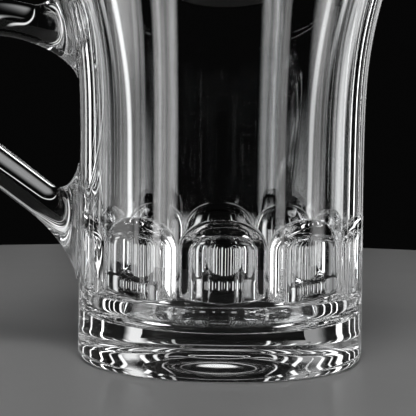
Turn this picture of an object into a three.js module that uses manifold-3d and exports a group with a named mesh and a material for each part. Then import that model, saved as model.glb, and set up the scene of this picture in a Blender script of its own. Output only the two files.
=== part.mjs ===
// A clear glass mug: a pressed body with a heavy foot, and an ear-shaped handle stuck to its wall.
//
// Millimetres, +Z up, standing on z = 0 with the handle along -X. The origin is the middle of the
// mug's box, handle included, on the surface that it stands on.
//
// The body is one revolved wall. Inside its lower half stands a ring of lobes, each an upright bullet
// with a domed top, half sunk in the wall, so that their tops read as a row of arches. Below the
// lobes the cavity narrows to a plain round cup. The handle is a bent rod, lofted along its route,
// that widens at each end into a pad cut to the curve of the wall.

import * as THREE from 'three';
import { mergeVertices } from 'three/addons/utils/BufferGeometryUtils.js';
import Module from 'manifold-3d';

const wasm = await Module();
wasm.setup();

// Wall, outside
const HEIGHT = 120;
const FOOT_RADIUS = 38.4;
const FOOT_EDGE_WIDTH = 1.6;      // rounded lower edge, across
const FOOT_EDGE_HEIGHT = 3;       // rounded lower edge, upwards
const PUNT_RADIUS = 25;           // hollow under the foot, inside the resting ring
const PUNT_DEPTH = 2.4;
const PUNT_FLAT = 0.62;           // share of its radius that steers its flat middle
const PUNT_LAP = 0.28;            // share that steers it down to the resting ring
const WALL_DRAFT = 0.4;           // how much the wall draws in from the foot to the waist
const WAIST_HEIGHT = 46;          // where the flare starts
const RIM_RADIUS = 49;
const RIM_SLOPE = 19;             // degrees that the flare leans out at the rim
const FLARE_PULL = 0.455;         // share of the flare's height that steers its curve from each end

// Wall, inside
const WALL = 3.8;                 // glass at the waist
const RIM_WALL = 2.8;             // glass at the rim, rounded over
const FLOOR_HEIGHT = 10.4;        // solid glass under the cavity
const FLOOR_FILLET = 4;
const CUP_HEIGHT = 6.6;           // plain round cup between the floor and the lobes
const SHOULDER_HEIGHT = 4.5;      // from the plain cup out to the foot of the grooves

// Lobes
const LOBE_COUNT = 10;
const LOBE_DEPTH = 6.8;           // from the wall to a lobe's crest
const LOBE_GAP = 1;               // groove between two lobes, at the wall
const LOBE_STEP = 0.7;            // how far the plain cup stands inside the crests
const ARCH_TOP = 39.2;            // top of an arch on the wall
const ARCH_RISE = 7.6;            // from where an arch leaves the upright grooves to its top
const LOBE_TURN = 0.3;            // degrees that the ring of lobes is turned from the handle's plane

// Handle
const CLEARANCE = 0.3;            // between the handle's pads and the wall
const ROD_THICKNESS = 9.8;        // in the plane of the loop
const ROD_WIDTH = 11.4;           // across the loop
const PAD_WIDTH = 18;
const PAD_SEAT = 6;               // how far a pad runs into the wall before it is cut to it
const PAD_RUN_ON = 0.45;          // share of a pad's reach in which it still follows the rod
const PAD_HUG = 0.25;             // share of a pad's spread in which it turns to lie on the wall
const UPPER_PAD_DROP = 32;        // rim to the middle of the upper pad
const UPPER_PAD_LENGTH = 26;      // up the wall
const LOWER_PAD_RISE = 36;        // table to the middle of the lower pad
const LOWER_PAD_LENGTH = 31;
const UPPER_ARM_REACH = 15;       // wall to where the upper arm meets its pad
const UPPER_ARM_LIFT = 1.4;       // upper pad's middle to that point
const UPPER_ARM_SLOPE = 14;       // degrees that the upper arm rises away from the wall
const CREST_REACH = 23.4;         // wall to the handle's highest point
const CREST_LIFT = 2.5;           // upper pad's middle to the handle's highest point
const LOOP_REACH = 42;            // wall to the outermost point of the rod's middle line
const LOOP_DROP = 18.4;           // highest point to the outermost point
const LOWER_ARM_REACH = 10.4;     // wall to where the lower arm meets its pad
const LOWER_ARM_LIFT = 6;         // lower pad's middle to that point
const LOWER_ARM_SLOPE = 37;       // degrees that the lower arm falls towards the wall
const LOWER_ARM_LENGTH = 17;      // straight run of the lower arm
const ARM_PULL = 0.33;            // share of the upper arm that steers its curve from each end
const LOOP_PULL = 0.4;            // the same for the lower half of the loop
const QUARTER_ROUND = 0.5523;     // and for a quarter of an ellipse

// Facets
const AROUND = 70;                // a whole number for each lobe
const CURVE_STEPS = 5;
const LOBE_AROUND = 32;
const ROD_AROUND = 24;
const ROD_STEPS = 30;
const PAD_STEPS = 8;
const FLARE_SAMPLES = 200;        // points at which the flare's radius is looked up

// Sizes that follow
const WAIST_RADIUS = FOOT_RADIUS - WALL_DRAFT;
const GROOVE_RADIUS = WAIST_RADIUS - WALL;
const CREST_RADIUS = GROOVE_RADIUS - LOBE_DEPTH;
const CUP_RADIUS = CREST_RADIUS - LOBE_STEP;
const SHOULDER_BOTTOM = FLOOR_HEIGHT + CUP_HEIGHT;
const RIM_ROUND = RIM_WALL / 2;
const FLARE_TOP = HEIGHT - RIM_ROUND;

const clearGlass = () => new THREE.MeshStandardMaterial({
  color: 0xe9eef0,
  roughness: 0.04,
  metalness: 0,
  transparent: true,
  opacity: 0.4,
});

// A closed geometry as a solid that can be joined and cut.
function solidOf(geometry) {
  const bare = geometry.clone();
  bare.deleteAttribute('normal');
  bare.deleteAttribute('uv');
  const merged = mergeVertices(bare, 1e-4);
  return new wasm.Manifold(new wasm.Mesh({
    numProp: 3,
    vertProperties: new Float32Array(merged.attributes.position.array),
    triVerts: new Uint32Array(merged.index.array),
  }));
}

// A solid as a mesh with its node's name.
function meshOf(solid, name) {
  const { vertProperties, triVerts } = solid.getMesh();
  const geometry = new THREE.BufferGeometry();
  geometry.setAttribute('position', new THREE.BufferAttribute(vertProperties, 3));
  geometry.setIndex(new THREE.BufferAttribute(triVerts, 1));
  geometry.computeVertexNormals();
  const mesh = new THREE.Mesh(geometry, clearGlass());
  mesh.name = name;
  return mesh;
}

// A radius-and-height outline that starts and ends on the axis, revolved about +Z.
function revolve(outline, around) {
  const points = outline.getPoints(CURVE_STEPS);
  return solidOf(new THREE.LatheGeometry(points, around).rotateX(Math.PI / 2));
}

// The two middle points of the flare's curve, upright at the waist and leaning by RIM_SLOPE at the rim.
function flareHandles(waistRadius, rimRadius) {
  const pull = (FLARE_TOP - WAIST_HEIGHT) * FLARE_PULL;
  const lean = pull * Math.tan(THREE.MathUtils.degToRad(RIM_SLOPE));
  return [[waistRadius, WAIST_HEIGHT + pull], [rimRadius - lean, FLARE_TOP - pull]];
}

// The outside of the wall from the foot's edge to the rim, moved out by grow.
function addOuterWall(outline, grow) {
  const [low, high] = flareHandles(WAIST_RADIUS + grow, RIM_RADIUS + grow);
  outline.lineTo(WAIST_RADIUS + grow, WAIST_HEIGHT);
  outline.bezierCurveTo(...low, ...high, RIM_RADIUS + grow, FLARE_TOP);
}

// The cavity's wall from the rim down to the floor's middle.
function addCavity(outline) {
  const rimInside = RIM_RADIUS - RIM_WALL;
  const [low, high] = flareHandles(GROOVE_RADIUS, rimInside);
  const shoulderTop = SHOULDER_BOTTOM + SHOULDER_HEIGHT;
  const shoulderMiddle = SHOULDER_BOTTOM + SHOULDER_HEIGHT / 2;
  const filletTop = FLOOR_HEIGHT + FLOOR_FILLET;
  const filletStart = CUP_RADIUS - FLOOR_FILLET;
  outline.bezierCurveTo(...high, ...low, GROOVE_RADIUS, WAIST_HEIGHT);
  outline.lineTo(GROOVE_RADIUS, shoulderTop);
  outline.bezierCurveTo(
    GROOVE_RADIUS, shoulderMiddle, CUP_RADIUS, shoulderMiddle, CUP_RADIUS, SHOULDER_BOTTOM);
  outline.lineTo(CUP_RADIUS, filletTop);
  outline.quadraticCurveTo(CUP_RADIUS, FLOOR_HEIGHT, filletStart, FLOOR_HEIGHT);
  outline.lineTo(0, FLOOR_HEIGHT);
}

// The revolved wall: punt, resting ring, rounded foot edge, outside, rounded rim, then the cavity.
function plainBody() {
  const outline = new THREE.Path();
  const ringOuter = FOOT_RADIUS - FOOT_EDGE_WIDTH;
  outline.moveTo(0, PUNT_DEPTH);
  outline.bezierCurveTo(
    PUNT_RADIUS * PUNT_FLAT, PUNT_DEPTH, PUNT_RADIUS * (1 - PUNT_LAP), 0, PUNT_RADIUS, 0);
  outline.lineTo(ringOuter, 0);
  outline.absellipse(
    ringOuter, FOOT_EDGE_HEIGHT, FOOT_EDGE_WIDTH, FOOT_EDGE_HEIGHT, -Math.PI / 2, 0, false, 0);
  addOuterWall(outline, 0);
  outline.absarc(RIM_RADIUS - RIM_ROUND, FLARE_TOP, RIM_ROUND, 0, Math.PI, false);
  addCavity(outline);
  return revolve(outline, AROUND);
}

// Where a lobe's upright axis stands, and its radius, so that its crest lies on CREST_RADIUS and it
// meets the wall half a groove short of the middle between two lobes.
function lobeSection() {
  const halfAngle = Math.PI / LOBE_COUNT - LOBE_GAP / 2 / GROOVE_RADIUS;
  const chord = GROOVE_RADIUS * Math.cos(halfAngle) - CREST_RADIUS;
  const centre = (GROOVE_RADIUS ** 2 - CREST_RADIUS ** 2) / (2 * chord);
  return { centre, radius: centre - CREST_RADIUS };
}

// One lobe: an upright bullet from inside the foot up to its half-elliptical dome.
function lobe({ centre, radius }) {
  const spring = ARCH_TOP - ARCH_RISE;
  const sunk = (centre - GROOVE_RADIUS) / radius;
  const dome = ARCH_RISE / Math.sqrt(1 - sunk ** 2);
  const outline = new THREE.Path();
  outline.moveTo(0, FLOOR_HEIGHT / 2);
  outline.lineTo(radius, FLOOR_HEIGHT / 2);
  outline.lineTo(radius, spring);
  outline.absellipse(0, spring, radius, dome, 0, Math.PI / 2, false, 0);
  return revolve(outline, LOBE_AROUND).translate([centre, 0, 0]);
}

// The ring of lobes, kept to the inner half of the wall's thickness.
function lobeRing() {
  const one = lobe(lobeSection());
  const pitch = 360 / LOBE_COUNT;
  let ring = null;
  for (let i = 0; i < LOBE_COUNT; i += 1) {
    const turned = one.rotate([0, 0, (i + 0.5) * pitch + LOBE_TURN]);
    ring = ring ? ring.add(turned) : turned;
  }
  const limit = new THREE.Path();
  limit.moveTo(0, 0);
  limit.lineTo(GROOVE_RADIUS + WALL / 2, 0);
  limit.lineTo(GROOVE_RADIUS + WALL / 2, ARCH_TOP + WALL);
  limit.lineTo(0, ARCH_TOP + WALL);
  return ring.intersect(revolve(limit, AROUND));
}

// The space that the handle stays out of: the outside of the wall, grown by the clearance.
function wallWithClearance() {
  const outline = new THREE.Path();
  outline.moveTo(0, 0);
  outline.lineTo(FOOT_RADIUS + CLEARANCE, 0);
  outline.lineTo(FOOT_RADIUS + CLEARANCE, FOOT_EDGE_HEIGHT);
  addOuterWall(outline, CLEARANCE);
  outline.lineTo(0, FLARE_TOP);
  return revolve(outline, AROUND);
}

// The wall's outer radius at a height, read off the flare's curve above the waist.
function wallRadiusAt(height) {
  if (height <= WAIST_HEIGHT) {
    return WAIST_RADIUS;
  }
  const [low, high] = flareHandles(WAIST_RADIUS, RIM_RADIUS);
  const flare = new THREE.CubicBezierCurve(
    new THREE.Vector2(WAIST_RADIUS, WAIST_HEIGHT),
    new THREE.Vector2(...low),
    new THREE.Vector2(...high),
    new THREE.Vector2(RIM_RADIUS, FLARE_TOP),
  );
  const samples = flare.getPoints(FLARE_SAMPLES);
  return samples.find((point) => point.y >= height).x;
}

// A point in the handle's plane, by its distance from the waist's wall and its height.
function handlePoint(reach, height) {
  return new THREE.Vector3(-WAIST_RADIUS - reach, 0, height);
}

// A direction in the handle's plane that leaves the wall and rises by an angle in degrees.
function awayFromWall(angle) {
  const turn = THREE.MathUtils.degToRad(angle);
  return new THREE.Vector3(-Math.cos(turn), 0, Math.sin(turn));
}

// The rod's middle line between its two pads: along the upper arm to the crest, a quarter round to
// the outermost point, and down to the straight lower arm.
function rodRoute() {
  const upperPad = HEIGHT - UPPER_PAD_DROP;
  const upperArm = handlePoint(UPPER_ARM_REACH, upperPad + UPPER_ARM_LIFT);
  const crest = handlePoint(CREST_REACH, upperPad + CREST_LIFT);
  const outermost = handlePoint(LOOP_REACH, upperPad + CREST_LIFT - LOOP_DROP);
  const lowerArm = handlePoint(LOWER_ARM_REACH, LOWER_PAD_RISE + LOWER_ARM_LIFT);
  const armRise = awayFromWall(LOWER_ARM_SLOPE);
  const armTop = lowerArm.clone().addScaledVector(armRise, LOWER_ARM_LENGTH);
  const out = awayFromWall(0);
  const down = new THREE.Vector3(0, 0, -1);
  const armPull = crest.distanceTo(upperArm) * ARM_PULL;
  const loopPull = outermost.distanceTo(armTop) * LOOP_PULL;
  const bend = (from, fromWay, fromPull, to, toWay, toPull) => new THREE.CubicBezierCurve3(
    from,
    from.clone().addScaledVector(fromWay, fromPull),
    to.clone().addScaledVector(toWay, toPull),
    to,
  );
  const route = new THREE.CurvePath();
  route.add(bend(upperArm, awayFromWall(UPPER_ARM_SLOPE), armPull, crest, out, -armPull));
  route.add(bend(crest, out, (LOOP_REACH - CREST_REACH) * QUARTER_ROUND,
    outermost, down, -LOOP_DROP * QUARTER_ROUND));
  route.add(bend(outermost, down, loopPull, armTop, armRise, loopPull));
  route.add(new THREE.LineCurve3(armTop, lowerArm));
  return route;
}

// The rod's oval cross-section at a share of its route. Point 0 is the one farthest out of the loop.
function rodRing(route, share) {
  const middle = route.getPointAt(share);
  const heading = route.getTangentAt(share);
  const outward = new THREE.Vector3(heading.z, 0, -heading.x);
  const ring = [];
  for (let i = 0; i < ROD_AROUND; i += 1) {
    const angle = (2 * Math.PI * i) / ROD_AROUND;
    const point = middle.clone().addScaledVector(outward, (ROD_THICKNESS / 2) * Math.cos(angle));
    point.y += (ROD_WIDTH / 2) * Math.sin(angle);
    ring.push(point);
  }
  return ring;
}

// The outline of a pad, laid on the wall. Point 0 is its top on the upper pad, and its foot on the lower.
function padOutline(height, length, way) {
  const ring = [];
  for (let i = 0; i < ROD_AROUND; i += 1) {
    const angle = (2 * Math.PI * i) / ROD_AROUND;
    const y = (PAD_WIDTH / 2) * Math.sin(angle);
    const z = height + way * (length / 2) * Math.cos(angle);
    ring.push(new THREE.Vector3(-Math.sqrt(wallRadiusAt(z) ** 2 - y ** 2), y, z));
  }
  return ring;
}

// The rings of a pad from the rod's end to inside the wall. Each point runs on along the rod, then
// turns on a curve until it lies nearly along the wall at the pad's outline.
function padRings(rodEnd, towardsWall, outline) {
  const middle = new THREE.Vector3();
  outline.forEach((point) => middle.addScaledVector(point, 1 / outline.length));
  const curves = outline.map((point, i) => {
    const reach = point.distanceTo(rodEnd[i]);
    return new THREE.CubicBezierCurve3(
      rodEnd[i],
      rodEnd[i].clone().addScaledVector(towardsWall, reach * PAD_RUN_ON),
      point.clone().lerp(middle, PAD_HUG),
      point,
    );
  });
  const rings = [];
  for (let step = 1; step <= PAD_STEPS; step += 1) {
    rings.push(curves.map((curve) => curve.getPoint(step / PAD_STEPS)));
  }
  const seat = new THREE.Vector3(PAD_SEAT, 0, 0);
  rings.push(outline.map((point) => point.clone().add(seat)));
  return rings;
}

// A closed skin over rings of equally many points, capped flat at both ends.
function loft(rings) {
  const count = rings[0].length;
  const points = rings.flat();
  const index = [];
  for (let r = 0; r < rings.length - 1; r += 1) {
    for (let i = 0; i < count; i += 1) {
      const a = r * count + i;
      const b = r * count + (i + 1) % count;
      index.push(a, b, a + count, b, b + count, a + count);
    }
  }
  const last = (rings.length - 1) * count;
  for (let i = 1; i < count - 1; i += 1) {
    index.push(0, i + 1, i);
    index.push(last, last + i, last + i + 1);
  }
  const geometry = new THREE.BufferGeometry().setFromPoints(points);
  geometry.setIndex(index);
  return geometry;
}

function mugBody() {
  return meshOf(plainBody().add(lobeRing()), 'mug_body');
}

function handle() {
  const route = rodRoute();
  const rod = [];
  for (let i = 0; i <= ROD_STEPS; i += 1) {
    rod.push(rodRing(route, i / ROD_STEPS));
  }
  const upper = padRings(rod[0], route.getTangentAt(0).negate(),
    padOutline(HEIGHT - UPPER_PAD_DROP, UPPER_PAD_LENGTH, 1));
  const lower = padRings(rod[ROD_STEPS], route.getTangentAt(1),
    padOutline(LOWER_PAD_RISE, LOWER_PAD_LENGTH, -1));
  const skin = loft([...upper.reverse(), ...rod, ...lower]);
  return meshOf(solidOf(skin).subtract(wallWithClearance()), 'handle');
}

const mug = new THREE.Group();
mug.name = 'glass_mug';
mug.add(mugBody(), handle());
const handleEnd = WAIST_RADIUS + LOOP_REACH + ROD_THICKNESS / 2;
mug.position.x = (handleEnd - RIM_RADIUS) / 2;

export default mug;
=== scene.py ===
"""Looks of a clear glass mug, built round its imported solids.

The bowl and the handle are surfaces worked out as whole arrays of rings, and they stand for the two
solids of the frame. Metres, +Z up, in the frame's own axes: the handle points along -X, the mug stands on
z = 0, and the camera looks along +Y.
"""

import logging
import math
from dataclasses import dataclass
from enum import Enum

import bpy
import numpy as np
from mathutils import Matrix, Vector


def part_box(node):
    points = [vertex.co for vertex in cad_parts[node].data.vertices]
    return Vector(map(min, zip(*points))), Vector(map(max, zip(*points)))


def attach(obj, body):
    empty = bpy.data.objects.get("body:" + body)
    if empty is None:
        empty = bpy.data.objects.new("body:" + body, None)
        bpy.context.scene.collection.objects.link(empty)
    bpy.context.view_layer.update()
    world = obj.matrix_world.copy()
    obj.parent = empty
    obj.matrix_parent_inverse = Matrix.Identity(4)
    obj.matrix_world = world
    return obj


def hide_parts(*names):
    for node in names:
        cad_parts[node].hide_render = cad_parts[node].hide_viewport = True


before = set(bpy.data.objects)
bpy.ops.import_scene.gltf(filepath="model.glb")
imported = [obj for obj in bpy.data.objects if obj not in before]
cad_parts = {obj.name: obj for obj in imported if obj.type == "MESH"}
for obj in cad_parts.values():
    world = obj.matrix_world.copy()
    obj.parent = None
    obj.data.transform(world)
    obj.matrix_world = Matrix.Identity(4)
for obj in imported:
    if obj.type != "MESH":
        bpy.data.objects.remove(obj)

LOG = logging.getLogger("glass_mug")
BODY = "root"
MM = 0.001
FAR = 1.0  # a radius that no wall reaches

Array = np.ndarray
Piece = bpy.types.Object
Material = bpy.types.Material
Node = bpy.types.Node
Tree = bpy.types.NodeTree
Socket = bpy.types.NodeSocket
Pair = tuple[float, float]
Triple = tuple[float, float, float]


def mix(start: Array, end: Array, share: Array | float) -> Array:
    """Points at a share of the way from start to end."""
    return start + (end - start) * share


def line(start: Pair, end: Pair, count: int) -> Array:
    """Points along a straight stretch, its start left out.

    Args:
        start: Where the stretch starts.
        end: Where it ends.
        count: How many points it gets.

    Returns:
        An array of count points.
    """
    share = np.linspace(0.0, 1.0, count + 1)[1:, None]
    return mix(np.asarray(start, float), np.asarray(end, float), share)


def bezier(corners: list[Array], share: Array) -> Array:
    """Points on a cubic curve: the four corners weighted by the cubic Bernstein shares.

    Args:
        corners: Start, two steering points and end, each an array that ends in the axes.
        share: Shares of the way along the curve, shaped to spread over the corners.

    Returns:
        The points, in the shape that share and the corners spread to.
    """
    a, b, c, d = (np.asarray(corner, float) for corner in corners)
    rest = 1.0 - share
    return rest**3 * a + 3 * rest**2 * share * b + 3 * rest * share**2 * c + share**3 * d


def curve(corners: list[Pair], count: int) -> Array:
    """Points along a cubic curve in the plane of radius and height, its start left out."""
    return bezier(corners, np.linspace(0.0, 1.0, count + 1)[1:, None])


def arc(centre: Pair, radii: Pair, turn: Pair, count: int) -> Array:
    """Points along an elliptical arc, its start left out: the centre plus radii times cosine and sine.

    Args:
        centre: Middle of the ellipse.
        radii: Its two half widths.
        turn: First and last angle in degrees.
        count: How many points it gets.

    Returns:
        An array of count points.
    """
    angle = np.radians(np.linspace(*turn, count + 1)[1:])
    return np.asarray(centre) + np.asarray(radii) * np.stack([np.cos(angle), np.sin(angle)], axis=-1)


def smooth_min(a: Array, b: Array, width: float) -> Array:
    """The lesser of two values, with the corner between them filled by a parabola of that width."""
    share = np.clip(0.5 + 0.5 * (b - a) / width, 0.0, 1.0)
    return mix(b, a, share) - width * share * (1.0 - share)


def closed_skin(name: str, rings: Array, poles: tuple[Array, Array]) -> Piece:
    """A closed smooth mesh over a grid of rings, with a fan of triangles to a pole at each end.

    Point j of ring i has index i * around + j, the two poles come last, and each quad joins neighbours on
    two rings. Rings run anticlockwise seen along the way from the first ring to the last, so faces point
    out.

    Args:
        name: The piece's name.
        rings: Points in the shape (rings, around, 3).
        poles: The points that close the first and the last ring.

    Returns:
        The object, linked to the scene, at the origin.
    """
    count, around, _ = rings.shape
    points = np.concatenate([rings.reshape(-1, 3), np.stack(poles)])
    row = np.arange(count - 1)[:, None] * around
    here = np.arange(around)
    there = (here + 1) % around
    quads = np.stack([row + here, row + there, row + around + there, row + around + here], axis=-1)
    first = np.stack([np.full(around, count * around), there, here], axis=-1)
    top = (count - 1) * around
    last = np.stack([np.full(around, count * around + 1), top + here, top + there], axis=-1)
    corners = np.concatenate([quads.ravel(), first.ravel(), last.ravel()])
    sizes = np.repeat([4, 3], [quads.shape[0] * quads.shape[1], 2 * around])
    mesh = bpy.data.meshes.new(name)
    mesh.vertices.add(len(points))
    mesh.vertices.foreach_set("co", points.astype(np.float32).ravel())
    mesh.loops.add(len(corners))
    mesh.loops.foreach_set("vertex_index", corners.astype(np.int32))
    mesh.polygons.add(len(sizes))
    mesh.polygons.foreach_set("loop_start", (np.cumsum(sizes) - sizes).astype(np.int32))
    mesh.update(calc_edges=True)
    mesh.validate()
    mesh.shade_smooth()
    piece = bpy.data.objects.new(name, mesh)
    bpy.context.scene.collection.objects.link(piece)
    return piece


def dress(piece: Piece, glass: Material, joint: Material, joined: Array) -> None:
    """Gives a piece its glass, and its fused faces the joint's material.

    Args:
        piece: The piece.
        glass: Its glass.
        joint: The material of its fused faces.
        joined: Which faces are fused, one truth value to a face.
    """
    piece.data.materials.append(glass)
    piece.data.materials.append(joint)
    piece.data.polygons.foreach_set("material_index", joined.astype(np.int32))


class Effect(Enum):
    """Surface effects that the two glasses share, each a shader node group."""

    WAVES = "fire_polished_waves"
    FILM = "handling_film"
    WEAR = "resting_wear"


def new_group(effect: Effect, inputs: dict[str, float], output: str) -> tuple[Tree, dict[str, Node]]:
    """A shader node group with a coordinate input, number inputs and one number output.

    Args:
        effect: The effect that names the group.
        inputs: Names and first values of its number inputs.
        output: Name of its output.

    Returns:
        The group, and its own input and output nodes under "in" and "out".
    """
    tree = bpy.data.node_groups.new(effect.value, "ShaderNodeTree")
    tree.interface.new_socket("Place", in_out="INPUT", socket_type="NodeSocketVector")
    for name, value in inputs.items():
        socket = tree.interface.new_socket(name, in_out="INPUT", socket_type="NodeSocketFloat")
        socket.default_value = value
    tree.interface.new_socket(output, in_out="OUTPUT", socket_type="NodeSocketFloat")
    ends = {"in": tree.nodes.new("NodeGroupInput"), "out": tree.nodes.new("NodeGroupOutput")}
    return tree, ends


def new_material(name: str) -> tuple[Material, Node]:
    """A node material of that name.

    Args:
        name: The material's name.

    Returns:
        The material and its Principled shader.
    """
    made = bpy.data.materials.new(name)
    made.use_nodes = True
    return made, made.node_tree.nodes["Principled BSDF"]


def add_node(tree: Tree, kind: str, **settings: object) -> Node:
    """A new node in a tree.

    Args:
        tree: The tree.
        kind: The node's type.
        **settings: The node's properties and their values.

    Returns:
        The node.
    """
    node = tree.nodes.new(kind)
    for name, value in settings.items():
        setattr(node, name, value)
    return node


def add_noise(tree: Tree, place: Socket, scale: Socket, detail: float) -> Socket:
    """A noise pattern in space.

    Args:
        tree: The tree that it goes into.
        place: Where the pattern is read.
        scale: Its scale.
        detail: How many finer layers it has.

    Returns:
        The pattern's value.
    """
    noise = add_node(tree, "ShaderNodeTexNoise", noise_dimensions="3D")
    noise.inputs["Detail"].default_value = detail
    tree.links.new(place, noise.inputs["Vector"])
    tree.links.new(scale, noise.inputs["Scale"])
    return noise.outputs["Fac"]


def add_step(tree: Tree, value: Socket, low: float, high: float) -> Socket:
    """A smooth step of a value, which falls where low is above high.

    Args:
        tree: The tree that it goes into.
        value: The value.
        low: Where the step starts from 0.
        high: Where it reaches 1.

    Returns:
        The step's value.
    """
    ramp = add_node(tree, "ShaderNodeMapRange", interpolation_type="SMOOTHSTEP")
    ramp.inputs["From Min"].default_value = low
    ramp.inputs["From Max"].default_value = high
    tree.links.new(value, ramp.inputs["Value"])
    return ramp.outputs["Result"]


def add_product(tree: Tree, a: Socket, b: Socket) -> Socket:
    """The product of two values.

    Args:
        tree: The tree that it goes into.
        a: One value.
        b: The other.

    Returns:
        The product.
    """
    product = add_node(tree, "ShaderNodeMath", operation="MULTIPLY")
    tree.links.new(a, product.inputs[0])
    tree.links.new(b, product.inputs[1])
    return product.outputs["Value"]


def waves_group() -> Tree:
    """Slow waves that fire polishing leaves on pressed glass: noise drawn out along the height by Stretch.

    Returns:
        A group that puts out the waves' height.
    """
    tree, ends = new_group(Effect.WAVES, {"Scale": 60.0, "Stretch": 0.35}, "Height")
    given = ends["in"].outputs
    upright = add_node(tree, "ShaderNodeCombineXYZ")
    upright.inputs["X"].default_value = 1.0
    upright.inputs["Y"].default_value = 1.0
    tree.links.new(given["Stretch"], upright.inputs["Z"])
    drawn = add_node(tree, "ShaderNodeVectorMath", operation="MULTIPLY")
    tree.links.new(given["Place"], drawn.inputs[0])
    tree.links.new(upright.outputs["Vector"], drawn.inputs[1])
    height = add_noise(tree, drawn.outputs["Vector"], given["Scale"], detail=1.0)
    tree.links.new(height, ends["out"].inputs["Height"])
    return tree


def film_group() -> Tree:
    """The faint film that hands and a cloth leave: broad patches, broken up by a finer noise.

    Returns:
        A group that puts out where the film is.
    """
    tree, ends = new_group(Effect.FILM, {"Patch scale": 35.0, "Streak scale": 420.0}, "Mask")
    given = ends["in"].outputs
    broad = add_noise(tree, given["Place"], given["Patch scale"], detail=3.0)
    fine = add_noise(tree, given["Place"], given["Streak scale"], detail=2.0)
    patches = add_step(tree, broad, low=0.5, high=0.72)
    streaks = add_step(tree, fine, low=0.3, high=0.75)
    tree.links.new(add_product(tree, patches, streaks), ends["out"].inputs["Mask"])
    return tree


def wear_group() -> Tree:
    """Rubbed glass where the mug stands: full at the table, gone at Reach above it, broken into scratches.

    Returns:
        A group that puts out where the glass is rubbed.
    """
    tree, ends = new_group(Effect.WEAR, {"Reach": 0.4 * MM, "Scratch scale": 900.0}, "Mask")
    given = ends["in"].outputs
    axes = add_node(tree, "ShaderNodeSeparateXYZ")
    tree.links.new(given["Place"], axes.inputs["Vector"])
    share = add_node(tree, "ShaderNodeMath", operation="DIVIDE")
    tree.links.new(axes.outputs["Z"], share.inputs[0])
    tree.links.new(given["Reach"], share.inputs[1])
    near = add_step(tree, share.outputs["Value"], low=1.0, high=0.2)
    fine = add_noise(tree, given["Place"], given["Scratch scale"], detail=4.0)
    scratches = add_step(tree, fine, low=0.4, high=0.65)
    tree.links.new(add_product(tree, near, scratches), ends["out"].inputs["Mask"])
    return tree


@dataclass(frozen=True)
class ClearGlass:
    """Clear fire-polished glass, with slow waves, a faint film and rubbed contact marks.

    Attributes:
        slot: The record's material slot.
        tint: Colour of clean glass.
        film_tint: Colour under the film.
        ior: How strongly it bends light.
        polish: Roughness of clean glass.
        film: Roughness that the film adds.
        rub: Roughness that the contact marks add.
        wave_scale: Waves to a metre.
        wave_height: Depth of the waves, in metres.
    """

    slot: str
    tint: Triple = (0.985, 0.992, 0.995)
    film_tint: Triple = (0.95, 0.965, 0.972)
    ior: float = 1.52
    polish: float = 0.002
    film: float = 0.03
    rub: float = 0.04
    wave_scale: float = 60.0
    wave_height: float = 0.04 * MM

    def material(self, groups: dict[Effect, Tree]) -> Material:
        """The glass as a material.

        Args:
            groups: The shared effects.

        Returns:
            A node material on Object coordinates.
        """
        made, shader = new_material(self.slot)
        tree = made.node_tree
        shader.inputs["Transmission Weight"].default_value = 1.0
        shader.inputs["Metallic"].default_value = 0.0
        shader.inputs["IOR"].default_value = self.ior
        place = tree.nodes.new("ShaderNodeTexCoord").outputs["Object"]
        film = self._effect(tree, groups[Effect.FILM], place).outputs["Mask"]
        wear = self._effect(tree, groups[Effect.WEAR], place).outputs["Mask"]
        waves = self._effect(tree, groups[Effect.WAVES], place)
        waves.inputs["Scale"].default_value = self.wave_scale
        tree.links.new(self._colour(tree, film), shader.inputs["Base Color"])
        tree.links.new(self._roughness(tree, film, wear), shader.inputs["Roughness"])
        bump = add_node(tree, "ShaderNodeBump")
        bump.inputs["Distance"].default_value = self.wave_height
        tree.links.new(waves.outputs["Height"], bump.inputs["Height"])
        tree.links.new(bump.outputs["Normal"], shader.inputs["Normal"])
        return made

    @staticmethod
    def _effect(tree: Tree, group: Tree, place: Socket) -> Node:
        """A shared effect in a material.

        Args:
            tree: The material's tree.
            group: The effect's group.
            place: Where the effect is read.

        Returns:
            The group's node.
        """
        node = add_node(tree, "ShaderNodeGroup", node_tree=group)
        tree.links.new(place, node.inputs["Place"])
        return node

    def _colour(self, tree: Tree, film: Socket) -> Socket:
        """The colour over the surface: the clean tint, turned to the film's where the film is.

        Args:
            tree: The material's tree.
            film: Where the film is.

        Returns:
            The colour.
        """
        tint = add_node(tree, "ShaderNodeMix", data_type="RGBA")
        clean, filmed = (socket for socket in tint.inputs if socket.type == "RGBA")
        clean.default_value = (*self.tint, 1.0)
        filmed.default_value = (*self.film_tint, 1.0)
        tree.links.new(film, tint.inputs["Factor"])
        return next(socket for socket in tint.outputs if socket.type == "RGBA")

    def _roughness(self, tree: Tree, film: Socket, wear: Socket) -> Socket:
        """The roughness over the surface: the polish, plus what the film and the contact marks add.

        Args:
            tree: The material's tree.
            film: Where the film is.
            wear: Where the glass is rubbed.

        Returns:
            The roughness.
        """
        filmed = add_node(tree, "ShaderNodeMath", operation="MULTIPLY_ADD")
        filmed.inputs[1].default_value = self.film
        filmed.inputs[2].default_value = self.polish
        tree.links.new(film, filmed.inputs[0])
        rubbed = add_node(tree, "ShaderNodeMath", operation="MULTIPLY_ADD")
        rubbed.inputs[1].default_value = self.rub
        tree.links.new(wear, rubbed.inputs[0])
        tree.links.new(filmed.outputs["Value"], rubbed.inputs[2])
        return rubbed.outputs["Value"]


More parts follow.
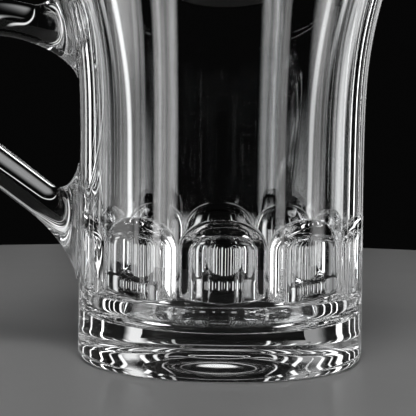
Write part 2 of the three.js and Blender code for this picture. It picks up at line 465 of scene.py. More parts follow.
@dataclass(frozen=True)
class FusedJoint:
    """Glass melted to glass: light passes from the handle into the wall without bending.

    Attributes:
        name: The material's name.
        ior: How strongly it bends light, which is not at all.
        polish: Its roughness.
    """

    name: str = "fused_joint"
    ior: float = 1.0
    polish: float = 0.0

    def material(self) -> Material:
        """The joint as a material.

        Returns:
            A clear material.
        """
        made, shader = new_material(self.name)
        shader.inputs["Transmission Weight"].default_value = 1.0
        shader.inputs["Roughness"].default_value = self.polish
        shader.inputs["IOR"].default_value = self.ior
        return made


@dataclass(frozen=True)
class PalePlaster:
    """Pale matt plaster with a slight mottle, for the floor.

    Attributes:
        name: The material's name.
        dark: Its darkest tone.
        light: Its lightest tone.
        rough: Its roughness.
        mottle_scale: Patches to a metre.
    """

    name: str = "pale_plaster"
    dark: float = 0.60
    light: float = 0.66
    rough: float = 0.45
    mottle_scale: float = 40.0

    def material(self) -> Material:
        """The plaster as a material.

        Returns:
            A node material on Object coordinates.
        """
        made, shader = new_material(self.name)
        tree = made.node_tree
        shader.inputs["Roughness"].default_value = self.rough
        noise = add_node(tree, "ShaderNodeTexNoise")
        noise.inputs["Scale"].default_value = self.mottle_scale
        tree.links.new(tree.nodes.new("ShaderNodeTexCoord").outputs["Object"], noise.inputs["Vector"])
        ramp = add_node(tree, "ShaderNodeValToRGB")
        for stop, tone in zip(ramp.color_ramp.elements, (self.dark, self.light)):
            stop.color = (tone, tone, tone, 1.0)
        tree.links.new(noise.outputs["Fac"], ramp.inputs["Fac"])
        tree.links.new(ramp.outputs["Color"], shader.inputs["Base Color"])
        return made


@dataclass(frozen=True)
class BlackCard:
    """Matt black card, for the flag in the floor.

    Attributes:
        name: The material's name.
        tone: Its tone.
        rough: Its roughness.
    """

    name: str = "black_card"
    tone: float = 0.0
    rough: float = 1.0

    def material(self) -> Material:
        """The card as a material.

        Returns:
            A plain matt material.
        """
        made, shader = new_material(self.name)
        shader.inputs["Base Color"].default_value = (self.tone, self.tone, self.tone, 1.0)
        shader.inputs["Roughness"].default_value = self.rough
        return made


@dataclass(frozen=True)
class Oval:
    """The oval outline in which a pad of the handle sits on the wall.

    Attributes:
        height: Height of its middle.
        length: Its length up the wall.
        width: Its width across the handle.
    """

    height: float
    length: float
    width: float

    def covers(self, across: Array, height: Array, inset: float) -> Array:
        """Which points lie inside the oval, an inset from its edge, by squared shares of its half widths."""
        wide, tall = self.width / 2 - inset, self.length / 2 - inset
        return (across / wide) ** 2 + ((height - self.height) / tall) ** 2 < 1.0


@dataclass(frozen=True)
class BowlRows:
    """How many rings of points each stretch of the bowl's skin gets, from the hollow round to the floor."""

    hollow: int = 44
    ring: int = 4
    edge: int = 14
    wall: int = 36
    flare: int = 52
    rim: int = 12
    inner_flare: int = 32
    above_arch: int = 6
    arch: int = 44
    below_arch: int = 8
    shoulder: int = 22
    cup: int = 4
    fillet: int = 10
    floor: int = 12


@dataclass
class Bowl:
    """The pressed bowl: a revolved wall on a heavy foot, with a ring of domed lobes inside.

    Sizes are in metres and angles in degrees. The rim, height and axis come from the frame's solid.
    """

    node: str = "mug_body"
    foot_radius: float = 38.4 * MM
    edge_width: float = 1.6 * MM
    edge_height: float = 3.0 * MM
    punt_radius: float = 25 * MM
    punt_depth: float = 2.6 * MM
    mark_radius: float = 6 * MM
    mark_width: float = 1.2 * MM
    mark_depth: float = 0.1 * MM
    waist_radius: float = 38.0 * MM
    waist_height: float = 46 * MM
    rim_slope: float = 19.0
    flare_pull: float = 0.455
    wall: float = 3.8 * MM
    rim_wall: float = 2.8 * MM
    floor_height: float = 10.4 * MM
    floor_fillet: float = 4 * MM
    floor_hub: float = 1 * MM
    cup_height: float = 6.6 * MM
    cup_slack: float = 0.1 * MM
    shoulder_height: float = 4.5 * MM
    lobes: int = 10
    lobe_depth: float = 6.8 * MM
    lobe_gap: float = 1.0 * MM
    lobe_step: float = 0.7 * MM
    arch_top: float = 39.2 * MM
    arch_rise: float = 7.6 * MM
    lobe_turn: float = 0.3
    groove_fill: float = 0.5 * MM
    lobe_columns: int = 32
    column_spread: float = 0.35
    joint_inset: float = 0.7 * MM
    rows: BowlRows = BowlRows()

    def __post_init__(self) -> None:
        """Takes the axis, the rim and the height from the frame, and works out the sizes that follow."""
        low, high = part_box(self.node)
        self.axis = Vector(((low.x + high.x) / 2, (low.y + high.y) / 2, 0.0))
        self.rim_radius = (high.x - low.x) / 2
        self.height = high.z
        self.groove_radius = self.waist_radius - self.wall
        self.crest_radius = self.groove_radius - self.lobe_depth
        self.cup_radius = self.crest_radius - self.lobe_step
        self.flare_top = self.height - self.rim_wall / 2
        self.spring = self.arch_top - self.arch_rise

    def flare(self, waist: float, rim: float) -> list[Pair]:
        """The corners of the flare's curve, upright at the waist and leaning by the rim's slope at the rim.

        Args:
            waist: Radius at the waist.
            rim: Radius at the rim.

        Returns:
            Start, two steering points and end, by radius and height.
        """
        pull = (self.flare_top - self.waist_height) * self.flare_pull
        lean = pull * math.tan(math.radians(self.rim_slope))
        return [
            (waist, self.waist_height),
            (waist, self.waist_height + pull),
            (rim - lean, self.flare_top - pull),
            (rim, self.flare_top),
        ]

    def underside(self) -> Array:
        """The profile from the middle of the hollow out to the resting ring.

        Its depth falls off as one less the squared share of the radius, squared. The ring-shaped mark of
        the press stands on it as one wave of a cosine.

        Returns:
            Radii and heights, in the shape (rings, 2).
        """
        share = np.linspace(0.0, 1.0, self.rows.hollow + 1)[1:]
        depth = self.punt_depth * (1.0 - share**2) ** 2
        hollow = np.stack([self.punt_radius * share, depth], axis=-1)
        aside = np.clip((hollow[:, 0] - self.mark_radius) / self.mark_width, -1.0, 1.0)
        hollow[:, 1] -= self.mark_depth * (0.5 + 0.5 * np.cos(math.pi * aside))
        return hollow

    def outside(self) -> Array:
        """The profile from the resting ring up to the rim: ring, rounded edge, upright wall, flare.

        Returns:
            Radii and heights, in the shape (rings, 2).
        """
        ring = self.foot_radius - self.edge_width
        foot, waist = (self.foot_radius, self.edge_height), (self.waist_radius, self.waist_height)
        return np.concatenate([
            line((self.punt_radius, 0.0), (ring, 0.0), self.rows.ring),
            arc((ring, self.edge_height), (self.edge_width, self.edge_height), (-90.0, 0.0), self.rows.edge),
            line(foot, waist, self.rows.wall),
            curve(self.flare(self.waist_radius, self.rim_radius), self.rows.flare),
        ])

    def inside(self) -> Array:
        """The profile from the rim down to the floor, without the lobes.

        Rounded rim, flare, straight groove wall with rings crowded by a sine where the arches close, an
        S-shaped shoulder, the plain cup, a fillet and the floor.

        Returns:
            Radii and heights, in the shape (rings, 2).
        """
        rows, floor, fillet = self.rows, self.floor_height, self.floor_fillet
        groove, cup, lip = self.groove_radius, self.cup_radius, self.rim_wall / 2
        shoulder = floor + self.cup_height
        shoulder_top = shoulder + self.shoulder_height
        bend = (shoulder + shoulder_top) / 2
        above = self.arch_top + self.groove_fill
        crowd = np.sin(np.linspace(math.pi / 2, 0.0, rows.arch + 1)[1:])
        arches = self.spring + (above - self.spring) * crowd
        return np.concatenate([
            arc((self.rim_radius - lip, self.flare_top), (lip, lip), (0.0, 180.0), rows.rim),
            curve(self.flare(groove, self.rim_radius - self.rim_wall)[::-1], rows.inner_flare),
            line((groove, self.waist_height), (groove, above), rows.above_arch),
            np.stack([np.full(rows.arch, groove), arches], axis=-1),
            line((groove, self.spring), (groove, shoulder_top), rows.below_arch),
            curve([(groove, shoulder_top), (groove, bend), (cup, bend), (cup, shoulder)], rows.shoulder),
            line((cup, shoulder), (cup, floor + fillet), rows.cup),
            arc((cup - fillet, floor + fillet), (fillet, fillet), (0.0, -90.0), rows.fillet),
            line((cup - fillet, floor), (self.floor_hub, floor), rows.floor),
        ])

    def columns(self) -> Array:
        """Angles of the grid's columns from the middle of the nearest lobe, and round the axis.

        Across a lobe they follow a mix of a straight line and a sine, so that they crowd at the grooves.

        Returns:
            An array of two rows: the angle within the lobe, and the angle round the axis, in radians.
        """
        half = math.pi / self.lobes
        step = np.linspace(-1.0, 1.0, self.lobe_columns, endpoint=False)
        within = half * mix(np.sin(step * math.pi / 2), step, self.column_spread)
        middle = (np.arange(self.lobes) + 0.5) * 2 * half + math.radians(self.lobe_turn)
        around = (middle[:, None] + within).ravel()
        return np.stack([np.tile(within, self.lobes), around])

    def lobe_radius(self, within: Array, height: Array) -> Array:
        """How far from the axis a lobe's skin stands.

        A lobe is an upright rod whose middle stands behind the groove wall, closed by a half-elliptical
        dome, so the radius is the near root of the circle: a cos(t) less the root of rho squared less
        (a sin(t)) squared.

        Args:
            within: Angles from the lobe's middle.
            height: Heights, shaped to spread over the angles.

        Returns:
            Radii, very large where the lobe isn't met.
        """
        half = math.pi / self.lobes - self.lobe_gap / 2 / self.groove_radius
        chord = self.groove_radius * math.cos(half) - self.crest_radius
        centre = (self.groove_radius**2 - self.crest_radius**2) / (2 * chord)
        rod = centre - self.crest_radius
        sunk = (centre - self.groove_radius) / rod
        dome = self.arch_rise / math.sqrt(1.0 - sunk**2)
        rise = np.clip((height - self.spring) / dome, 0.0, 1.0)
        root = rod**2 * (1.0 - rise**2) - (centre * np.sin(within)) ** 2
        return np.where(root > 0.0, centre * np.cos(within) - np.sqrt(np.maximum(root, 0.0)), FAR)

    def wall_at(self, height: Array) -> Array:
        """The wall's outer radius at a height, read along its outside."""
        outside = self.outside()
        return np.interp(height, outside[:, 1], outside[:, 0])

    def rings(self) -> Array:
        """The whole skin as rings: underside, outside and inside, with the lobes cut into the inside.

        Each inside ring above the cup takes the smooth lesser of the plain wall's radius and the lobe's.

        Returns:
            Points in the shape (rings, around, 3).
        """
        within, around = self.columns()
        outer = np.concatenate([self.underside(), self.outside()])
        inner = self.inside()
        outer_radius = np.repeat(outer[:, :1], len(around), axis=1)
        lobed = smooth_min(inner[:, :1], self.lobe_radius(within, inner[:, 1:]), self.groove_fill)
        inner_radius = np.where(inner[:, :1] > self.cup_radius - self.cup_slack, lobed, inner[:, :1])
        radius = np.concatenate([outer_radius, inner_radius])
        height = np.concatenate([outer[:, 1], inner[:, 1]])[:, None]
        x = self.axis.x + radius * np.cos(around)
        y = self.axis.y + radius * np.sin(around)
        return np.stack([x, y, np.broadcast_to(height, radius.shape)], axis=-1)

    def joined(self, mesh: bpy.types.Mesh, ovals: tuple[Oval, ...]) -> Array:
        """Which faces are fused to a pad: those of the outer wall's skin, on the handle's side, in an oval.

        Args:
            mesh: The bowl's mesh.
            ovals: Where the pads sit.

        Returns:
            One truth value to a face.
        """
        centre = np.empty(3 * len(mesh.polygons), np.float32)
        mesh.polygons.foreach_get("center", centre)
        x, y, z = centre.reshape(-1, 3).T
        aside, across = self.axis.x - x, y - self.axis.y
        outer = (aside > 0.0) & (np.hypot(aside, across) > self.wall_at(z) - self.wall / 4)
        return outer & np.any([oval.covers(across, z, self.joint_inset) for oval in ovals], axis=0)

    def build(self, glass: Material, joint: Material, ovals: tuple[Oval, ...]) -> Piece:
        """Makes the bowl, which stands for its solid.

        Args:
            glass: Its glass.
            joint: The material where it is fused to the pads.
            ovals: Where the pads sit.

        Returns:
            The bowl.
        """
        foot = np.array([self.axis.x, self.axis.y, self.punt_depth])
        floor = np.array([self.axis.x, self.axis.y, self.floor_height])
        piece = closed_skin("bowl", self.rings(), (foot, floor))
        dress(piece, glass, joint, self.joined(piece.data, ovals))
        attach(piece, BODY)
        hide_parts(self.node)
        return piece


@dataclass
class Handle:
    """The ear-shaped handle: a bent oval rod that spreads at each end into a pad laid on the wall.

    Sizes are in metres and angles in degrees. Reaches are from the waist's wall.
    """

    bowl: Bowl
    node: str = "handle"
    gap: float = 0.12 * MM
    bead: float = 0.3 * MM
    rod_thickness: float = 9.8 * MM
    rod_width: float = 11.4 * MM
    pad_width: float = 18 * MM
    pad_run_on: float = 0.45
    pad_hug: float = 0.25
    pad_lift: float = 0.8 * MM
    upper_pad_drop: float = 32 * MM
    upper_pad_length: float = 26 * MM
    lower_pad_rise: float = 36 * MM
    lower_pad_length: float = 31 * MM
    upper_arm_reach: float = 15 * MM
    upper_arm_lift: float = 1.4 * MM
    upper_arm_slope: float = 14.0
    crest_reach: float = 23.4 * MM
    crest_lift: float = 2.5 * MM
    loop_reach: float = 42 * MM
    loop_drop: float = 18.4 * MM
    lower_arm_reach: float = 10.4 * MM
    lower_arm_lift: float = 6 * MM
    lower_arm_slope: float = 37.0
    lower_arm_length: float = 17 * MM
    arm_pull: float = 0.33
    loop_pull: float = 0.4
    quarter_round: float = 0.5523
    around: int = 112
    bend_points: int = 200
    rod_rings: int = 120
    pad_rings: int = 28
    bead_rings: int = 6
    seat_rings: int = 14

    def point(self, reach: float, height: float) -> Array:
        """A point in the handle's plane, by its reach from the waist's wall and its height."""
        return np.array([self.bowl.axis.x - self.bowl.waist_radius - reach, self.bowl.axis.y, height])

    @staticmethod
    def away(angle: float) -> Array:
        """A direction in the handle's plane that leaves the wall and rises by an angle."""
        turn = math.radians(angle)
        return np.array([-math.cos(turn), 0.0, math.sin(turn)])

    def route(self) -> Array:
        """The rod's middle line from pad to pad, as points evenly spaced along it.

        Upper arm to the crest, a quarter round to the outermost point, the lower half of the loop, and a
        straight lower arm, each a cubic curve steered along its end directions, then spaced out again by
        length.

        Returns:
            Points in the shape (rod_rings, 3).
        """
        upper = self.bowl.height - self.upper_pad_drop
        start = self.point(self.upper_arm_reach, upper + self.upper_arm_lift)
        crest = self.point(self.crest_reach, upper + self.crest_lift)
        outermost = self.point(self.loop_reach, upper + self.crest_lift - self.loop_drop)
        end = self.point(self.lower_arm_reach, self.lower_pad_rise + self.lower_arm_lift)
        rise = self.away(self.lower_arm_slope)
        straight = end + rise * self.lower_arm_length
        out, down = self.away(0.0), np.array([0.0, 0.0, -1.0])
        arm = np.linalg.norm(crest - start) * self.arm_pull
        loop = np.linalg.norm(outermost - straight) * self.loop_pull
        wide = (self.loop_reach - self.crest_reach) * self.quarter_round
        tall = self.loop_drop * self.quarter_round
        bends = [
            [start, start + self.away(self.upper_arm_slope) * arm, crest - out * arm, crest],
            [crest, crest + out * wide, outermost - down * tall, outermost],
            [outermost, outermost + down * loop, straight + rise * loop, straight],
            [straight, mix(straight, end, 1 / 3), mix(straight, end, 2 / 3), end],
        ]
        share = np.linspace(0.0, 1.0, self.bend_points + 1)[1:, None]
        dense = np.concatenate([start[None]] + [bezier(bend, share) for bend in bends])
        length = np.concatenate([[0.0], np.cumsum(np.linalg.norm(np.diff(dense, axis=0), axis=1))])
        even = np.linspace(0.0, length[-1], self.rod_rings)
        return np.stack([np.interp(even, length, dense[:, axis]) for axis in range(3)], axis=-1)

    def turn(self) -> Array:
        """Angles round a section. Angle 0 is the side farthest out of the loop."""
        return np.linspace(0.0, 2 * math.pi, self.around, endpoint=False)

    def rod(self) -> tuple[Array, Array]:
        """The rod's rings, and its headings at each of them.

        A ring is the middle plus half the thickness out of the loop by the cosine, and half the width
        across it by the sine.

        Returns:
            Rings in the shape (rod_rings, around, 3) and headings in the shape (rod_rings, 3).
        """
        middle = self.route()
        heading = np.gradient(middle, axis=0)
        heading /= np.linalg.norm(heading, axis=1, keepdims=True)
        outward = np.stack([heading[:, 2], np.zeros(len(middle)), -heading[:, 0]], axis=-1)
        turn = self.turn()[None, :, None]
        across = np.array([0.0, 1.0, 0.0])
        thick = outward[:, None] * (self.rod_thickness / 2) * np.cos(turn)
        return middle[:, None] + thick + across * (self.rod_width / 2) * np.sin(turn), heading

    def laid(self, across: Array, height: Array, off: float) -> Array:
        """Points laid on the wall: as far from the axis as the wall at their height, and a distance more.

        Args:
            across: Their places across the handle.
            height: Their heights.
            off: Their distance off the wall.

        Returns:
            The points, in the shape (count, 3).
        """
        radius = self.bowl.wall_at(height) + off
        x = self.bowl.axis.x - np.sqrt(radius**2 - across**2)
        return np.stack([x, self.bowl.axis.y + across, height], axis=-1)

    def pad(self, rod_end: Array, towards_wall: Array, oval: Oval, way: float) -> Array:
        """The rings of a pad, from the rod's end to the wall and in under the pad to its middle.

        Each point runs on along the rod, then turns on a cubic curve to the pad's oval outline. A
        half-round bead carries it under, and rings of the same oval, shrunk in equal steps, lie on the
        wall behind it.

        Args:
            rod_end: The rod's last ring.
            towards_wall: Direction in which the rod runs into the pad.
            oval: Where the pad sits on the wall.
            way: 1 where angle 0 is the pad's top, -1 where it is its foot.

        Returns:
            Rings in the shape (rings, around, 3).
        """
        turn = self.turn()
        height = oval.height
        across = np.sin(turn) * oval.width / 2
        upward = way * np.cos(turn) * oval.length / 2
        lid = self.gap + 2 * self.bead
        rim = self.laid(across, height + upward, lid)
        inner = 1.0 - self.pad_hug
        hug = self.laid(across * inner, height + upward * inner, lid + self.pad_lift)
        reach = np.linalg.norm(rim - rod_end, axis=1, keepdims=True)
        run_on = rod_end + towards_wall * reach * self.pad_run_on
        share = np.linspace(0.0, 1.0, self.pad_rings + 1)[1:, None, None]
        flank = bezier([rod_end, run_on, hug, rim], share)
        angle = np.linspace(math.pi / 2, -math.pi / 2, self.bead_rings + 1)[1:]
        bead = [self._bead(across, upward, height, a) for a in angle]
        shrink = np.linspace(1.0, 0.0, self.seat_rings + 1)[1:-1]
        seat = [self.laid(across * s, height + upward * s, self.gap) for s in shrink]
        return np.concatenate([flank, np.stack(bead), np.stack(seat)])

    def _bead(self, across: Array, upward: Array, height: float, angle: float) -> Array:
        """One ring of a pad's rounded edge: out along the wall by the cosine, off the wall by the sine.

        Args:
            across: The pad's outline across the handle.
            upward: The outline's heights above the pad's middle.
            height: Height of that middle.
            angle: Angle round the bead, in radians.

        Returns:
            Points in the shape (around, 3).
        """
        size = np.hypot(across, upward)
        grow = 1.0 + self.bead * math.cos(angle) / size
        off = self.gap + self.bead * (1.0 + math.sin(angle))
        return self.laid(across * grow, height + upward * grow, off)

    def ovals(self) -> tuple[Oval, Oval]:
        """Where the upper and the lower pad sit on the wall."""
        upper = Oval(self.bowl.height - self.upper_pad_drop, self.upper_pad_length, self.pad_width)
        return upper, Oval(self.lower_pad_rise, self.lower_pad_length, self.pad_width)

    def seated(self, rings: int) -> Array:
        """Which faces of the skin lie on the wall: the rows at both ends, and the fans that close them.

        Args:
            rings: How many rings the skin has.

        Returns:
            One truth value to a face.
        """
        row = np.arange(rings - 1).repeat(self.around)
        end = self.seat_rings - 1
        rows = (row < end) | (row >= rings - 1 - end)
        return np.concatenate([rows, np.ones(2 * self.around, bool)])

    def build(self, glass: Material, joint: Material) -> Piece:
        """Makes the handle, which stands for its solid.

        Args:
            glass: Its glass.
            joint: The material where its pads are seated on the wall.

        Returns:
            The handle.
        """
        rod, heading = self.rod()
        ovals = self.ovals()
        upper = self.pad(rod[0], -heading[0], ovals[0], 1.0)
        lower = self.pad(rod[-1], heading[-1], ovals[1], -1.0)
        rings = np.concatenate([upper[::-1], rod, lower])
        middle = np.array([0.0])
        poles = [self.laid(middle, middle + oval.height, self.gap)[0] for oval in ovals]
        piece = closed_skin("ear_handle", rings, tuple(poles))
        dress(piece, glass, joint, self.seated(len(rings)))
        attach(piece, BODY)
        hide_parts(self.node)
        return piece


class Side(Enum):
    """Where a strip light stands: its angle is measured from straight ahead, or from straight behind."""

    FRONT = 1.0
    BACK = -1.0


@dataclass(frozen=True)
class Strip:
    """One soft strip light.

    Attributes:
        name: Its name.
        side: In front of the mug or behind it.
        angle: Degrees from that side's middle, positive to the right of the picture.
        spread: Degrees that it covers, seen from the mug.
        glow: Its brightness, where white paper in the picture is 1.
        low: Height of its lower edge.
        high: Height of its upper edge.
        bowl_only: Whether it lights the bowl and leaves the handle out.
    """

    name: str
    side: Side
    angle: float
    spread: float
    glow: float
    low: float = -1.2
    high: float = 1.2
    bowl_only: bool = False


def side_strips() -> tuple[Strip, ...]:
    """Tall strips behind and beside the mug, which draw the bright lines up the sides of its wall.

    Returns:
        A strip to each row of name, angle, spread and glow.
    """
    rows = (
        ("rear_right_edge", 39.5, 2.0, 4.0),
        ("rear_right_line", 50.0, 2.0, 2.5),
        ("side_right_line", 62.0, 3.0, 2.0),
        ("side_right_panel", 76.0, 8.0, 1.0),
        ("rear_left_edge", -40.0, 6.0, 2.5),
        ("rear_left_line", -50.0, 1.5, 2.5),
        ("side_left_line", -58.0, 2.0, 2.0),
        ("side_left_panel", -68.0, 4.0, 1.5),
    )
    return tuple(Strip(name, Side.BACK, *place) for name, *place in rows)


def foot_strips() -> tuple[Strip, ...]:
    """Strips behind the mug that draw the bright and grey blocks in the clear foot.

    Returns:
        A strip to each row of name, angle, spread and glow.
    """
    low, high = -0.55, 0.5
    rows = (
        ("foot_right_line", 11.0, 1.2, 0.5),
        ("foot_right_panel", 22.5, 10.0, 0.9),
        ("foot_left_line", -10.5, 1.4, 0.9),
        ("foot_left_panel", -23.0, 18.0, 0.3),
    )
    return tuple(Strip(name, Side.BACK, *place, low, high) for name, *place in rows)


def lobe_lines() -> tuple[Strip, ...]:
    """Short low lines behind the mug, which stripe the lobes.

    Returns:
        A strip to each row of angle, spread, glow and lower edge.
    """
    high = -0.035
    rows = (
        (-20.0, 0.8, 0.5, -0.15),
        (-18.2, 0.7, 0.4, -0.14),
        (-15.0, 0.8, 1.0, -0.15),
        (-12.8, 1.2, 0.8, -0.14),
        (-11.0, 0.7, 1.2, -0.16),
        (-9.0, 0.8, 0.9, -0.14),
        (-7.0, 1.2, 1.2, -0.165),
        (-4.6, 0.7, 0.8, -0.13),
        (-2.8, 1.4, 0.9, -0.16),
        (-0.6, 0.6, 1.2, -0.135),
        (1.2, 0.9, 0.6, -0.15),
        (3.4, 1.5, 0.8, -0.165),
        (5.9, 0.7, 1.2, -0.135),
        (8.3, 1.3, 0.9, -0.155),
        (11.2, 0.8, 1.2, -0.14),
        (13.0, 1.1, 0.8, -0.16),
        (15.0, 0.7, 1.1, -0.15),
    )
    return tuple(
        Strip(f"lobe_line_{count}", Side.BACK, *place, high, bowl_only=True)
        for count, place in enumerate(rows, 1)
    )


def high_bars() -> tuple[Strip, ...]:
    """Level bars high behind the mug, which draw the rings under the foot.

    Returns:
        A strip to each row of lower and upper edge.
    """
    angle, spread, glow = 0.0, 26.0, 1.0
    rows = ((0.30, 0.36), (0.46, 0.52), (0.62, 0.70), (0.80, 0.87), (1.00, 1.07))
    return tuple(
        Strip(f"high_bar_{count}", Side.BACK, angle, spread, glow, *edges, bowl_only=True)
        for count, edges in enumerate(rows, 1)
    )


def high_lines() -> tuple[Strip, ...]:
    """Upright lines beside the bars, which draw the streaks under the foot.

    Returns:
        A strip to each row of angle, spread and glow.
    """
    low, high = 0.04, 0.9
    rows = (
        (14.0, 1.6, 1.0),
        (18.0, 2.4, 1.3),
        (22.5, 1.4, 1.0),
        (27.0, 2.6, 1.2),
        (32.5, 1.8, 1.2),
        (-13.5, 1.6, 1.0),
        (-18.0, 2.4, 1.2),
        (-23.0, 1.4, 1.0),
        (-28.0, 2.6, 1.2),
        (-33.5, 1.8, 1.2),
    )
    return tuple(
        Strip(f"high_line_{count}", Side.BACK, *place, low, high) for count, place in enumerate(rows, 1)
    )


def front_strips() -> tuple[Strip, ...]:
    """Strips in front of the mug, whose reflections are the broad bands of its upper wall.

    Returns:
        A strip to each row of name, angle, spread, glow, lower and upper edge.
    """
    rows = (
        ("front_right_key", 47.0, 6.0, 3.0, -0.6, 1.4),
        ("front_right_fill", 80.0, 18.0, 3.5, -1.0, 0.16),
        ("front_left_key", -42.0, 12.0, 3.0, -0.6, 1.4),
        ("front_left_edge", -51.0, 9.0, 5.0, -0.6, 1.4),
        ("front_left_streak", -69.0, 6.0, 3.5, -1.0, 0.16),
        ("front_left_fill", -82.0, 32.0, 3.0, -1.0, 0.16),
    )
    return tuple(Strip(name, Side.FRONT, *place) for name, *place in rows)


@dataclass
class Studio:
    """A plain pale floor, soft strip lights round a dark room, and the camera at the photograph's angle.

    Lengths are in metres and angles in degrees. Pixels are of the photograph's 416 by 416 frame.
    """

    bowl: Bowl
    plaster: PalePlaster = PalePlaster()
    card: BlackCard = BlackCard()
    floor_radius: float = 330 * MM
    floor_edge: float = 4 * MM
    floor_depth: float = 20 * MM
    floor_gap: float = 0.1 * MM
    floor_rows: tuple[int, int, int, int] = (4, 2, 8, 6)
    floor_columns: int = 128
    flag_distance: float = 88 * MM
    flag_size: Triple = (24 * MM, 0.5 * MM, 6.7 * MM)
    flag_top: float = -0.3 * MM
    light_distance: float = 1.0
    fade: float = 0.35
    end_fade: float = 0.22
    overhead_front: float = 0.5
    overhead_height: float = 0.8
    overhead_size: Pair = (0.5, 0.5)
    overhead_glow: float = 2.8
    room_tone: float = 0.002
    bounces: int = 200
    picture: float = 416.0
    pixel: float = 0.27 * MM
    distance: float = 326.4 * MM
    horizon_row: float = 132.0
    base_row: float = 356.5
    axis_column: float = 221.4
    roll: float = 0.77
    sensor: float = 36.0
    near: float = 10 * MM

    def camera(self) -> None:
        """Sets the camera.

        Its lens, height, aim and tilt follow from pixels of the picture at the mug's axis, and it rolls a
        little.
        """
        half = self.picture / 2
        data = bpy.data.cameras.new("camera")
        data.sensor_width = self.sensor
        data.lens = self.sensor / 2 / (half * self.pixel / self.distance)
        data.clip_start = self.near
        made = bpy.data.objects.new("camera", data)
        bpy.context.scene.collection.objects.link(made)
        aside = self.bowl.axis.x - (self.axis_column - half) * self.pixel
        height = (self.base_row - self.horizon_row) * self.pixel
        tilt = math.atan((half - self.horizon_row) * self.pixel / self.distance)
        place = Matrix.Translation((aside, self.bowl.axis.y - self.distance, height))
        roll = Matrix.Rotation(math.radians(self.roll), 4, "Z")
        made.matrix_world = place @ Matrix.Rotation(math.pi / 2 - tilt, 4, "X") @ roll
        bpy.context.scene.camera = made

    def floor(self) -> None:
        """Lays the floor: a wide round slab with a rounded edge, its profile carried round the mug's axis."""
        edge, gap, wide, deep = self.floor_edge, self.floor_gap, self.floor_radius, self.floor_depth
        under_rows, side_rows, edge_rows, top_rows = self.floor_rows
        profile = np.concatenate([
            line((0.0, -deep), (wide, -deep), under_rows),
            line((wide, -deep), (wide, -edge - gap), side_rows),
            arc((wide - edge, -edge - gap), (edge, edge), (0.0, 90.0), edge_rows),
            line((wide - edge, -gap), (edge, -gap), top_rows),
        ])
        angle = np.linspace(0.0, 2 * math.pi, self.floor_columns, endpoint=False)
        radius, height = profile[:, :1], np.broadcast_to(profile[:, 1:], (len(profile), len(angle)))
        x, y = self.bowl.axis.x + radius * np.cos(angle), radius * np.sin(angle)
        under = np.array([self.bowl.axis.x, 0.0, -deep])
        over = np.array([self.bowl.axis.x, 0.0, -gap])
        slab = closed_skin("floor", np.stack([x, y, height], axis=-1), (under, over))
        slab.data.materials.append(self.plaster.material())
        slab.visible_transmission = False

    def flag(self) -> None:
        """Lets a black card into the floor behind the mug, which keeps the low lines out of the foot."""
        wide, deep, tall = self.flag_size
        corner = np.array([(-1, -1), (1, -1), (1, 1), (-1, 1)]) * (wide / 2, deep / 2)
        corner = corner + (self.bowl.axis.x, self.bowl.axis.y + self.flag_distance)
        levels = (self.flag_top - tall, self.flag_top)
        low, high = (np.column_stack([corner, np.full(len(corner), z)]) for z in levels)
        card = closed_skin("flag", np.stack([low, high]), (low.mean(axis=0), high.mean(axis=0)))
        card.data.materials.append(self.card.material())

    @staticmethod
    def area(name: str, place: Vector, aim: Vector, size: Pair, glow: float) -> Piece:
        """A rectangular soft light.

        Args:
            name: Its name.
            place: Where its middle stands.
            aim: The point that it faces.
            size: Its width and height.
            glow: Its brightness, where white paper in the picture is 1.

        Returns:
            The light, hidden from the camera itself.
        """
        data = bpy.data.lights.new(name, "AREA")
        data.shape = "RECTANGLE"
        data.size, data.size_y = size
        data.energy = glow * math.pi * size[0] * size[1]
        made = bpy.data.objects.new(name, data)
        made.location = place
        made.rotation_euler = (aim - place).to_track_quat("-Z", "Y").to_euler()
        made.visible_camera = False
        bpy.context.scene.collection.objects.link(made)
        return made

    def soften(self, light: bpy.types.Light) -> None:
        """Fades a light towards its four edges, as a strip's cloth does: a smooth step from each edge.

        Args:
            light: The light.
        """
        light.use_nodes = True
        tree = light.node_tree
        across = add_node(tree, "ShaderNodeSeparateXYZ")
        surface = add_node(tree, "ShaderNodeNewGeometry")
        tree.links.new(surface.outputs["Parametric"], across.inputs["Vector"])
        shares = []
        for axis, fade in (("X", self.fade), ("Y", self.end_fade)):
            rise = add_step(tree, across.outputs[axis], 0.0, fade)
            fall = add_step(tree, across.outputs[axis], 1.0, 1.0 - fade)
            shares.append(add_product(tree, rise, fall))
        tree.links.new(add_product(tree, *shares), tree.nodes["Emission"].inputs["Strength"])

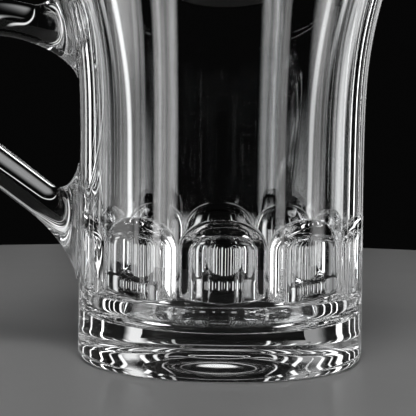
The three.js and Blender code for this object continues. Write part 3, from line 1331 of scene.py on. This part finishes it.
    def lights(self, bowl: Piece) -> None:
        """Stands the strips round the mug, which light only the glass, and hangs a soft light over the floor.

        Args:
            bowl: The bowl's piece, which some strips light alone.
        """
        only = bpy.data.collections.new("bowl_only")
        only.objects.link(bowl)
        behind = (*side_strips(), *foot_strips(), *lobe_lines(), *high_bars(), *high_lines())
        for strip in (*behind, *front_strips()):
            turn = math.radians(strip.angle)
            way = Vector((math.sin(turn), -strip.side.value * math.cos(turn), 0.0))
            aim = Vector((self.bowl.axis.x, 0.0, (strip.low + strip.high) / 2))
            width = 2 * self.light_distance * math.tan(math.radians(strip.spread / 2))
            size = (width, strip.high - strip.low)
            made = self.area(strip.name, aim + way * self.light_distance, aim, size, strip.glow)
            made.visible_diffuse = False
            self.soften(made.data)
            if strip.bowl_only:
                made.light_linking.receiver_collection = only
        middle = Vector((self.bowl.axis.x, 0.0, 0.0))
        top = middle + Vector((0.0, -self.overhead_front, self.overhead_height))
        overhead = self.area("overhead", top, middle, self.overhead_size, self.overhead_glow)
        overhead.visible_glossy = False
        overhead.visible_transmission = False

    def room(self) -> None:
        """Darkens the room, and lets light bounce as often as it runs round inside the handle's pads."""
        scene = bpy.context.scene
        world = bpy.data.worlds.new("dark_room")
        world.use_nodes = True
        tone = (self.room_tone, self.room_tone, self.room_tone, 1.0)
        world.node_tree.nodes["Background"].inputs["Color"].default_value = tone
        scene.world = world
        scene.view_settings.view_transform = "Standard"
        scene.cycles.max_bounces = self.bounces
        scene.cycles.transmission_bounces = self.bounces
        scene.cycles.glossy_bounces = self.bounces


def main() -> None:
    """Builds the glass, the mug and the studio in order."""
    logging.basicConfig(level=logging.INFO, format="%(name)s: %(message)s")
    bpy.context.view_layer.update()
    groups = {Effect.WAVES: waves_group(), Effect.FILM: film_group(), Effect.WEAR: wear_group()}
    bowl = Bowl()
    handle = Handle(bowl)
    body_glass, handle_glass = ClearGlass("body_glass"), ClearGlass("handle_glass", wave_scale=90.0)
    joint = FusedJoint().material()
    made = {
        body_glass: bowl.build(body_glass.material(groups), joint, handle.ovals()),
        handle_glass: handle.build(handle_glass.material(groups), joint),
    }
    for finish, piece in made.items():
        LOG.info("%s takes the finish %s, %d faces", piece.name, finish.slot, len(piece.data.polygons))
    studio = Studio(bowl)
    studio.floor()
    studio.flag()
    studio.lights(made[body_glass])
    studio.room()
    studio.camera()


if __name__ == "__main__":
    main()
